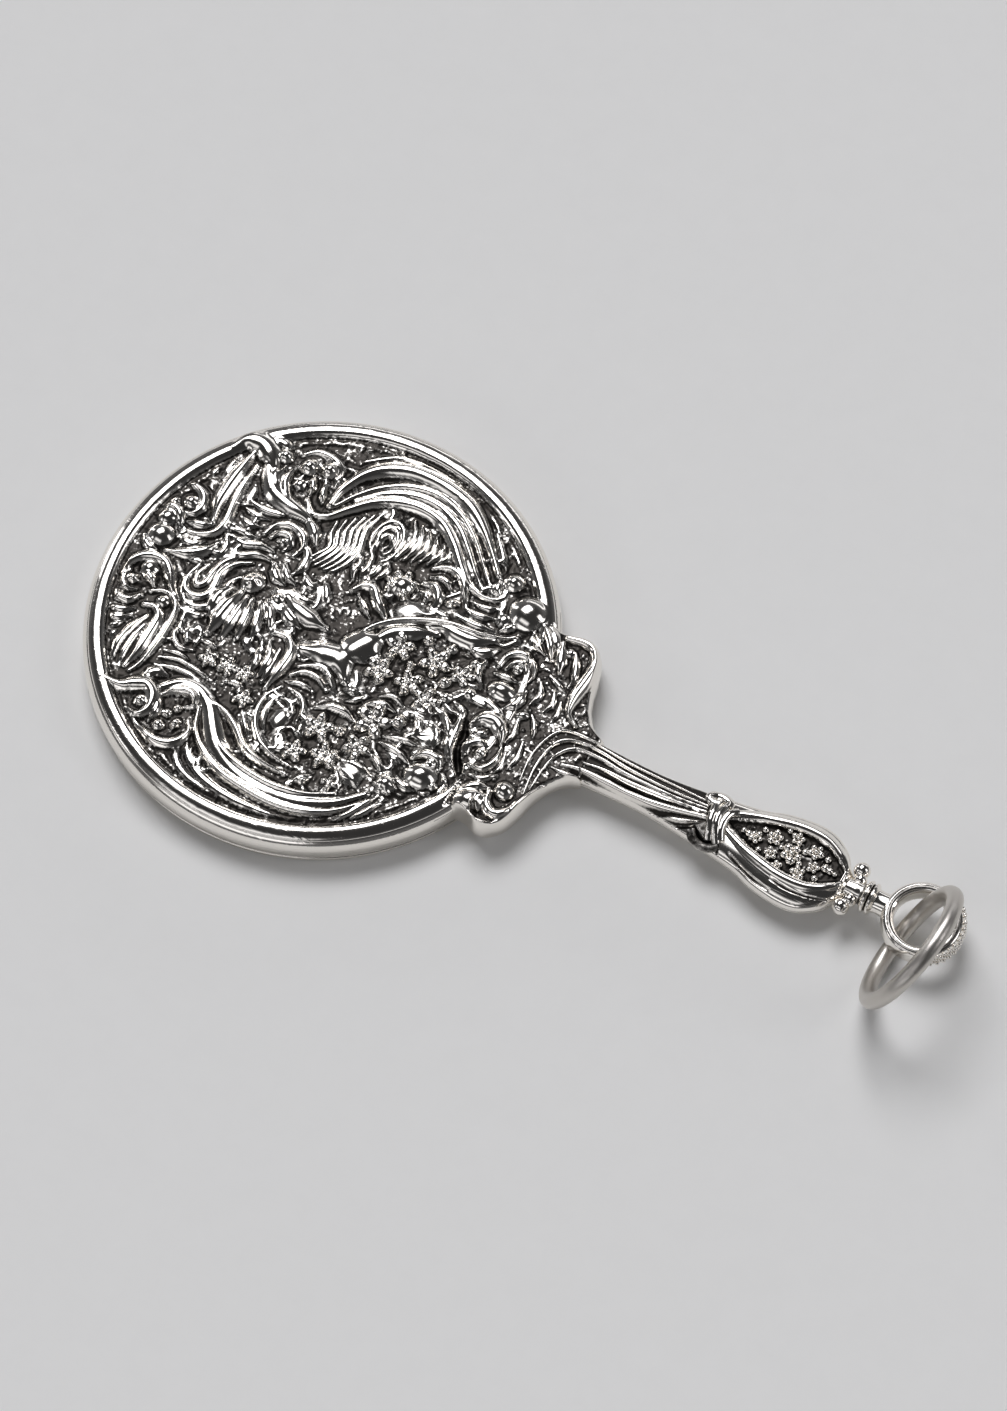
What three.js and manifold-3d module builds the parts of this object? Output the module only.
// Miniature hand mirror with a cast back, a flared shoulder, an almond grip and a jump ring.
// It lies face down. Millimetres, +Z up, +X from the head towards the end loop. The group is built
// round the middle of the head and then shifted, so that its origin is under the middle of its box.

import * as THREE from "three";
import { ParametricGeometry } from "three/addons/geometries/ParametricGeometry.js";
import { mergeVertices } from "three/addons/utils/BufferGeometryUtils.js";
import Module from "manifold-3d";

const wasm = await Module();
wasm.setup();

// Head: the stack from the table up is bezel, glass, silvering, card, shell.
const WALL_R = 15.4; // widest part of the side wall
const EDGE_R = 15.0; // upper edge of the side wall
const SHELL_Z = 2.2; // height of that edge
const LIP_IN_R = 13.1; // opening of the bezel's lip
const LIP_Z = 0.35; // thickness of the lip
const SEAT_R = 14.15; // inside of the wall, where the glass sits
const BAND_Z = 0.62; // where the side wall stands on the bezel
const GLASS_R = 13.95;
const GLASS_T = 0.96;
const SILVER_T = 0.05;
const CARD_T = 0.33;
const FIT = 0.02; // clearance between pieces that lie on each other
const CARD_TOP_Z = LIP_Z + GLASS_T + SILVER_T + CARD_T + 4 * FIT;
const HEAD_SEGMENTS = 56;

// Handle: two shells that meet at SPLIT_Z, with a filling between them.
const HANDLE_LOW_Z = 0.75;
const HANDLE_TOP_Z = 2.45;
const GRIP_SWELL = 0.15; // how much thicker the grip is, on each face
const GRIP_MIDDLE_X = 34;
const SPLIT_Z = 1.6;
const HANDLE_EDGE = [
  [18.6, 1.62], [20.5, 1.46], [24.0, 1.42], [27.0, 1.7], [28.6, 1.95], [30.75, 2.3],
  [32.3, 2.8], [34.2, 3.08], [35.6, 2.9], [36.8, 2.15], [37.45, 1.25], [37.9, 0.85],
];
const SHELL_WALL = 0.55; // wall of the two handle shells
const CORE_X = [20, 36.2]; // the filling's ends
const RECESS_EDGE = [[29.3, 0.35], [31, 1.3], [33.6, 1.85], [35.4, 1.6], [37.0, 0.4]];
const RECESS_Z = 2.1;

// Shoulder: the flared piece that laps over the rim.
const SHOULDER_LOW_Z = 0.6;
const SHOULDER_TOP_Z = 2.95;
const SHOULDER_FALL = 0.5; // from its top to the stem
const LAP_Z = 2.3; // underside of the lap
const SHOULDER_EDGE = [
  [12.6, 7.85], [13.4, 7.15], [14.3, 7.15], [15.2, 7.5], [16.0, 7.3], [16.8, 6.45],
  [17.25, 5.1], [17.7, 3.7], [18.3, 2.5], [19.2, 1.6],
];

// End loop, its shank, and the jump ring that stands in it.
const LOOP_X = 43.0;
const LOOP_IN_R = 1.85;
const LOOP_OUT_R = 2.65;
const LOOP_Z = [1.4, 2.8];
const LOOP_CHAMFER = 0.15;
const SHANK_R = 0.68;
const SHANK_X = [38.05, 40.9];
const SHANK_Z = 1.95;
const COLLAR_X = [38.95, 39.65];
const COLLAR_R = 1.02;
const BEAD_R = 0.37;
const BEAD_Z = 2.1;
const BEADS = [[38.02, 1.6], [38.36, 0.93], [38.02, -1.6], [38.36, -0.93]];

const RING_R = 4.15; // centre line of the wire
const WIRE_R = 0.55;
const RING_X = 43.46;
const RING_Y = -2.73;
const RING_LEAN = THREE.MathUtils.degToRad(25); // its top leans away from the head
const RING_HEADING = THREE.MathUtils.degToRad(-3.6);
const RING_NORMAL = new THREE.Vector3(
  Math.cos(RING_LEAN) * Math.cos(RING_HEADING),
  Math.cos(RING_LEAN) * Math.sin(RING_HEADING),
  -Math.sin(RING_LEAN),
);
const RING_Z = RING_R * Math.cos(RING_LEAN) + WIRE_R; // it stands on the table

const silver = new THREE.MeshStandardMaterial({ color: 0xd9d6d0, metalness: 1, roughness: 0.22 });
const satin = new THREE.MeshStandardMaterial({ color: 0xcfcac2, metalness: 1, roughness: 0.38 });
const glass = new THREE.MeshStandardMaterial({ color: 0xe8f0ee, metalness: 0, roughness: 0.03 });
const coating = new THREE.MeshStandardMaterial({ color: 0xf2f2f0, metalness: 1, roughness: 0.05 });
const card = new THREE.MeshStandardMaterial({ color: 0x6a5a48, metalness: 0, roughness: 0.9 });
const pitch = new THREE.MeshStandardMaterial({ color: 0x2a211c, metalness: 0, roughness: 0.6 });

// A closed geometry as a solid that can be joined and cut.
function solid(source) {
  const bare = source.index ? source.toNonIndexed() : source.clone();
  bare.deleteAttribute("normal");
  bare.deleteAttribute("uv");
  const merged = mergeVertices(bare, 1e-4);
  const corners = merged.index.array;
  const triVerts = [];
  for (let i = 0; i < corners.length; i += 3) {
    const [a, b, c] = corners.slice(i, i + 3);
    if (a !== b && b !== c && c !== a) triVerts.push(a, b, c);
  }
  return new wasm.Manifold(
    new wasm.Mesh({
      numProp: 3,
      vertProperties: merged.attributes.position.array,
      triVerts: new Uint32Array(triVerts),
    }),
  );
}

function geometryOf(body) {
  const mesh = body.getMesh();
  const geometry = new THREE.BufferGeometry();
  geometry.setAttribute("position", new THREE.BufferAttribute(mesh.vertProperties, 3));
  geometry.setIndex(new THREE.BufferAttribute(mesh.triVerts, 1));
  const flat = geometry.toNonIndexed();
  flat.computeVertexNormals();
  return flat;
}

// A solid of revolution about a vertical axis. The profile lists [radius, height], upwards outside.
function turned(profile, segments = HEAD_SEGMENTS) {
  const points = profile.map(([r, z]) => new THREE.Vector2(r, z));
  return new THREE.LatheGeometry(points, segments).rotateX(Math.PI / 2);
}

function closedRing(profile, segments) {
  return turned([...profile, profile[0]], segments);
}

// A plan outline through points of one side, mirrored about the X axis.
function mirroredOutline(edge, steps) {
  const side = new THREE.SplineCurve(edge.map(([x, y]) => new THREE.Vector2(x, y))).getPoints(steps);
  const other = side.map((p) => new THREE.Vector2(p.x, -p.y)).reverse();
  return new THREE.Shape([...other, ...side]);
}

function plate(outline, low, high) {
  const geometry = new THREE.ExtrudeGeometry(outline, { depth: high - low, bevelEnabled: false });
  return geometry.translate(0, 0, low);
}

// A closed bar along X with rounded long edges. Its plan is the edge's half widths, its height runs
// from low(x) to high(x), and a squareness near 0 makes its section nearly a rectangle.
function roundedBar(edge, low, high, squareness, slices, around = 16) {
  const curve = new THREE.SplineCurve(edge.map(([x, w]) => new THREE.Vector2(x, w)));
  const bend = (value) => Math.sign(value) * Math.abs(value) ** squareness;
  const surface = (u, v, target) => {
    const slice = Math.round(u * slices);
    const t = THREE.MathUtils.clamp((slice - 1) / (slices - 2), 0, 1);
    const { x, y: width } = curve.getPoint(t);
    const turn = -2 * Math.PI * (v % 1);
    const size = slice === 0 || slice === slices ? 0 : 1;
    const middle = (low(x) + high(x)) / 2;
    const half = (high(x) - low(x)) / 2;
    target.set(
      x,
      size * width * bend(Math.cos(turn)),
      middle + size * half * bend(Math.sin(turn)),
    );
  };
  return solid(new ParametricGeometry(surface, slices, around));
}

function block(x, y, z) {
  const geometry = new THREE.BoxGeometry(x[1] - x[0], y[1] - y[0], z[1] - z[0]);
  return geometry.translate((x[0] + x[1]) / 2, (y[0] + y[1]) / 2, (z[0] + z[1]) / 2);
}

function disc(radius, low, high) {
  return turned([[0, low], [radius, low], [radius, high], [0, high]]);
}

function frontBezel() {
  return closedRing([
    [LIP_IN_R, 0], [EDGE_R, 0], [EDGE_R + 0.25, 0.2], [EDGE_R + 0.3, BAND_Z - FIT],
    [SEAT_R, BAND_Z - FIT], [SEAT_R, LIP_Z], [LIP_IN_R + 0.15, LIP_Z],
  ]);
}

function mirrorGlass() {
  const low = LIP_Z + FIT;
  const arris = 0.1; // ground edge
  return turned([
    [0, low], [GLASS_R - arris, low], [GLASS_R, low + arris],
    [GLASS_R, low + GLASS_T - arris], [GLASS_R - arris, low + GLASS_T], [0, low + GLASS_T],
  ]);
}

function silvering() {
  const low = LIP_Z + GLASS_T + 2 * FIT;
  return disc(GLASS_R - 0.15, low, low + SILVER_T);
}

function backingCard() {
  return disc(GLASS_R, CARD_TOP_Z - CARD_T, CARD_TOP_Z);
}

function rimBand() {
  return closedRing([
    [SEAT_R, BAND_Z], [EDGE_R + 0.3, BAND_Z], [WALL_R - 0.03, 1.0], [WALL_R, 1.35],
    [WALL_R - 0.12, 1.85], [EDGE_R, SHELL_Z - FIT], [SEAT_R, SHELL_Z - FIT],
  ]);
}

// The lap of the shoulder, with room round it, cut from the shell's bead and field.
function lapSpace() {
  const grown = SHOULDER_EDGE.map(([x, y]) => [x - 0.04, y + 0.04]);
  return solid(plate(mirroredOutline(grown, 20), LAP_Z - FIT, SHOULDER_TOP_Z + 1));
}

// Blank of the cast back: a rim bead, the groove inside it, and a low crowned field.
function shellBlank() {
  return solid(turned([
    [0, CARD_TOP_Z + FIT], [SEAT_R - FIT, CARD_TOP_Z + FIT], [SEAT_R - FIT, SHELL_Z],
    [EDGE_R, SHELL_Z], [EDGE_R - 0.05, 2.45], [EDGE_R - 0.4, 2.72], [EDGE_R - 0.85, 2.66],
    [EDGE_R - 1.15, 2.4], [EDGE_R - 1.5, 2.55], [12.4, 2.42], [0, 2.55],
  ]));
}

function knob([x, y, radius, rise]) {
  return solid(new THREE.SphereGeometry(1, 10, 6).scale(radius, radius, rise).translate(x, y, 2.4));
}

// One raised scroll band of the border, swept along an arc about the middle of the head.
function scrollBand(sweep, side, width) {
  const path = new THREE.CatmullRomCurve3(
    sweep.map(([x, y]) => new THREE.Vector3(x, side * y, 2.45)),
  );
  const section = new THREE.Shape().absarc(0, 0, width, 0, 2 * Math.PI);
  return solid(new THREE.ExtrudeGeometry(section, {
    steps: 12, curveSegments: 3, bevelEnabled: false, extrudePath: path,
  }));
}

function backShell() {
  const outerSweep = [[-3.6, 7.8], [-1.6, 10.8], [1.4, 12.5], [5, 11.6], [7.4, 9.4], [9.3, 7.6]];
  const innerSweep = [[-4.6, 7.2], [-1.4, 9], [1.8, 10.4], [4.8, 9.4], [7.2, 6.8]];
  const bosses = [
    [1.8, -0.9, 3.4, 0.75], [-5.9, 0.6, 2.2, 0.8], [3.0, 5.0, 1.1, 0.8], [6.2, -3.4, 1.6, 0.8],
    [3.4, -6.6, 1.5, 0.7], [-4.5, -4.6, 1.4, 0.7], [-12, 4.6, 1.2, 0.7], [-12.2, -2.2, 1.3, 0.7],
    [-9.2, 9.2, 1.2, 0.8], [-8.4, -9.2, 1.1, 0.8], [10.9, 6.4, 1.2, 0.9], [10.3, -6.2, 1.1, 0.9],
  ];
  let relief = knob(bosses[0]);
  for (const boss of bosses.slice(1)) relief = relief.add(knob(boss));
  for (const side of [1, -1]) {
    relief = relief.add(scrollBand(outerSweep, side, 0.55));
    relief = relief.add(scrollBand(innerSweep, side, 0.5));
  }
  const overCard = solid(block([-20, 20], [-20, 20], [SHELL_Z - 0.1, 5]));
  return geometryOf(shellBlank().add(relief.intersect(overCard)).subtract(lapSpace()));
}

// The space that the head takes out of the shoulder.
function headSpace() {
  const clear = 0.05;
  return solid(turned([
    [0, -1], [WALL_R + clear, -1], [WALL_R + clear, SHELL_Z], [EDGE_R + clear, LAP_Z], [0, LAP_Z],
  ]));
}

// The lap ends on an arc that runs with the rim.
function fieldSpace() {
  return solid(turned([[0, LAP_Z - 0.1], [13.9, LAP_Z - 0.1], [13.9, 4], [0, 4]]));
}

function shoulderBlank() {
  const fall = (x) => SHOULDER_TOP_Z - SHOULDER_FALL * THREE.MathUtils.smoothstep(x, 15.5, 19.2);
  return roundedBar(SHOULDER_EDGE, () => SHOULDER_LOW_Z, fall, 0.3, 20).subtract(headSpace());
}

function handleBlank() {
  const swell = (x) => GRIP_SWELL * Math.exp(-(((x - GRIP_MIDDLE_X) / 3) ** 2));
  const low = (x) => HANDLE_LOW_Z - swell(x);
  const high = (x) => HANDLE_TOP_Z + swell(x);
  return roundedBar(HANDLE_EDGE, low, high, 0.55, 26);
}

function coreSpace(gap) {
  const edge = HANDLE_EDGE
    .filter(([x]) => x > CORE_X[0] && x < CORE_X[1])
    .map(([x, w]) => [x, w - SHELL_WALL - gap]);
  const first = [CORE_X[0] + gap, edge[0][1]];
  const z = [HANDLE_LOW_Z + SHELL_WALL - 0.15 + gap, RECESS_Z - 0.3 - gap];
  return solid(plate(mirroredOutline([first, ...edge], 16), ...z));
}

function shankSpace(gap) {
  const bar = new THREE.CylinderGeometry(SHANK_R + gap, SHANK_R + gap, SHANK_X[1] - SHANK_X[0] + gap, 20);
  return bar.rotateZ(Math.PI / 2).translate((SHANK_X[0] + SHANK_X[1] - gap) / 2, 0, SHANK_Z);
}

const above = () => solid(block([0, 50], [-20, 20], [SPLIT_Z + FIT / 2, 10]));
const below = () => solid(block([0, 50], [-20, 20], [-5, SPLIT_Z - FIT / 2]));

function shoulderCap() {
  const stem = solid(block([18.62, 40], [-5, 5], [0, 10]));
  return geometryOf(
    shoulderBlank().subtract(fieldSpace()).subtract(stem)
      .intersect(above()),
  );
}

function handleBackHalf() {
  const recess = solid(plate(mirroredOutline(RECESS_EDGE, 14), RECESS_Z, 5));
  const stem = solid(block([18.64, 50], [-20, 20], [-5, 10]));
  return geometryOf(
    handleBlank().intersect(above()).intersect(stem).subtract(coreSpace(0)).subtract(recess)
      .subtract(knotSaddle(0.02)).subtract(solid(shankSpace(FIT))),
  );
}

function handleFrontHalf() {
  return geometryOf(
    shoulderBlank().add(handleBlank()).intersect(below()).subtract(coreSpace(0))
      .subtract(solid(shankSpace(FIT))),
  );
}

const handleCore = () => geometryOf(coreSpace(0.03));

// The band of the ribbon knot: an arch across the stem, standing in a shallow seat.
function knotSaddle(gap) {
  const half = 2.3 + gap;
  const arch = new THREE.Shape();
  arch.moveTo(-half, SPLIT_Z + 0.15 - gap);
  arch.lineTo(half, SPLIT_Z + 0.15 - gap);
  arch.quadraticCurveTo(half, 3.1, 0, 3.1);
  arch.quadraticCurveTo(-half, 3.1, -half, SPLIT_Z + 0.15 - gap);
  const seat = block([26, 31], [-half, half], [0, RECESS_Z + 0.1 - gap]);
  const band = new THREE.ExtrudeGeometry(arch, {
    depth: 1.5 + 2 * gap, bevelEnabled: false, curveSegments: 8,
  });
  // The section's x and y become y and z, and the depth runs along x.
  band.rotateX(Math.PI / 2).rotateZ(Math.PI / 2).translate(27.45 - gap, 0, 0);
  return solid(band).subtract(solid(seat));
}

function ribbonKnot() {
  const tie = new THREE.SphereGeometry(1, 10, 6);
  const loopEnd = solid(tie.clone().scale(0.9, 0.55, 0.4).translate(27.9, 1.6, 2.75));
  const tail = solid(tie.clone().scale(1.0, 0.5, 0.4).translate(27.9, -1.5, 2.75));
  const roll = solid(tie.clone().scale(0.75, 0.7, 0.5).translate(28.2, 0, 3.0));
  return geometryOf(knotSaddle(0).add(loopEnd).add(tail).add(roll));
}

function gripPanel() {
  const gap = 0.1;
  const edge = RECESS_EDGE.map(([x, w]) => [x, w - gap]);
  edge[0][0] += 2 * gap;
  edge[edge.length - 1][0] -= 2 * gap;
  let panel = solid(plate(mirroredOutline(edge, 14), RECESS_Z + FIT, RECESS_Z + 0.25));
  const blossoms = [[31.2, 0.3], [32.4, -0.6], [32.7, 0.7], [33.9, 0], [34.9, -0.7], [35, 0.7], [36, 0]];
  for (const [x, y] of blossoms) {
    const petal = new THREE.SphereGeometry(0.48, 8, 4).scale(1, 1, 0.45);
    panel = panel.add(solid(petal.translate(x, y, RECESS_Z + 0.25)));
  }
  return geometryOf(panel);
}

function endLoop() {
  const [low, high] = LOOP_Z;
  const c = LOOP_CHAMFER;
  const band = closedRing([
    [LOOP_IN_R, low + c], [LOOP_IN_R + c, low], [LOOP_OUT_R - c, low], [LOOP_OUT_R, low + c],
    [LOOP_OUT_R, high - c], [LOOP_OUT_R - c, high], [LOOP_IN_R + c, high], [LOOP_IN_R, high - c],
  ], 40).translate(LOOP_X, 0, 0);
  return geometryOf(solid(band).add(solid(shankSpace(0))));
}

function neckCollar() {
  const round = 0.2;
  const length = COLLAR_X[1] - COLLAR_X[0];
  const sleeve = closedRing([
    [SHANK_R + 0.03, 0], [COLLAR_R - round, 0], [COLLAR_R, round], [COLLAR_R, length - round],
    [COLLAR_R - round, length], [SHANK_R + 0.03, length],
  ], 24);
  return sleeve.rotateY(Math.PI / 2).translate(COLLAR_X[0], 0, SHANK_Z);
}

function piece(name, geometry, material) {
  const mesh = new THREE.Mesh(geometry, material);
  mesh.name = name;
  return mesh;
}

const head = new THREE.Group();
head.add(
  piece("front_bezel", frontBezel(), silver),
  piece("mirror_glass", mirrorGlass(), glass),
  piece("silvering", silvering(), coating),
  piece("backing_card", backingCard(), card),
  piece("rim_band", rimBand(), silver),
  piece("back_shell", backShell(), silver),
);

const handle = new THREE.Group();
handle.add(
  piece("shoulder_cap", shoulderCap(), silver),
  piece("handle_back_half", handleBackHalf(), silver),
  piece("handle_front_half", handleFrontHalf(), silver),
  piece("handle_core", handleCore(), pitch),
  piece("ribbon_knot", ribbonKnot(), silver),
  piece("grip_panel", gripPanel(), silver),
  piece("neck_collar", neckCollar(), silver),
  piece("end_loop", endLoop(), silver),
);
BEADS.forEach(([x, y], i) => {
  const bead = piece(`grip_bead_${i + 1}`, new THREE.SphereGeometry(BEAD_R, 10, 6), silver);
  bead.position.set(x, y, BEAD_Z);
  handle.add(bead);
});

const ring = piece("jump_ring", new THREE.TorusGeometry(RING_R, WIRE_R, 10, 48), satin);
ring.quaternion.setFromUnitVectors(new THREE.Vector3(0, 0, 1), RING_NORMAL);
ring.position.set(RING_X, RING_Y, RING_Z);

const mirror = new THREE.Group();
mirror.add(head, handle, ring);
const farEnd = RING_X + RING_R * Math.hypot(RING_NORMAL.y, RING_NORMAL.z) + WIRE_R;
mirror.position.x = (WALL_R - farEnd) / 2;

const part = new THREE.Group();
part.add(mirror);
export default part;
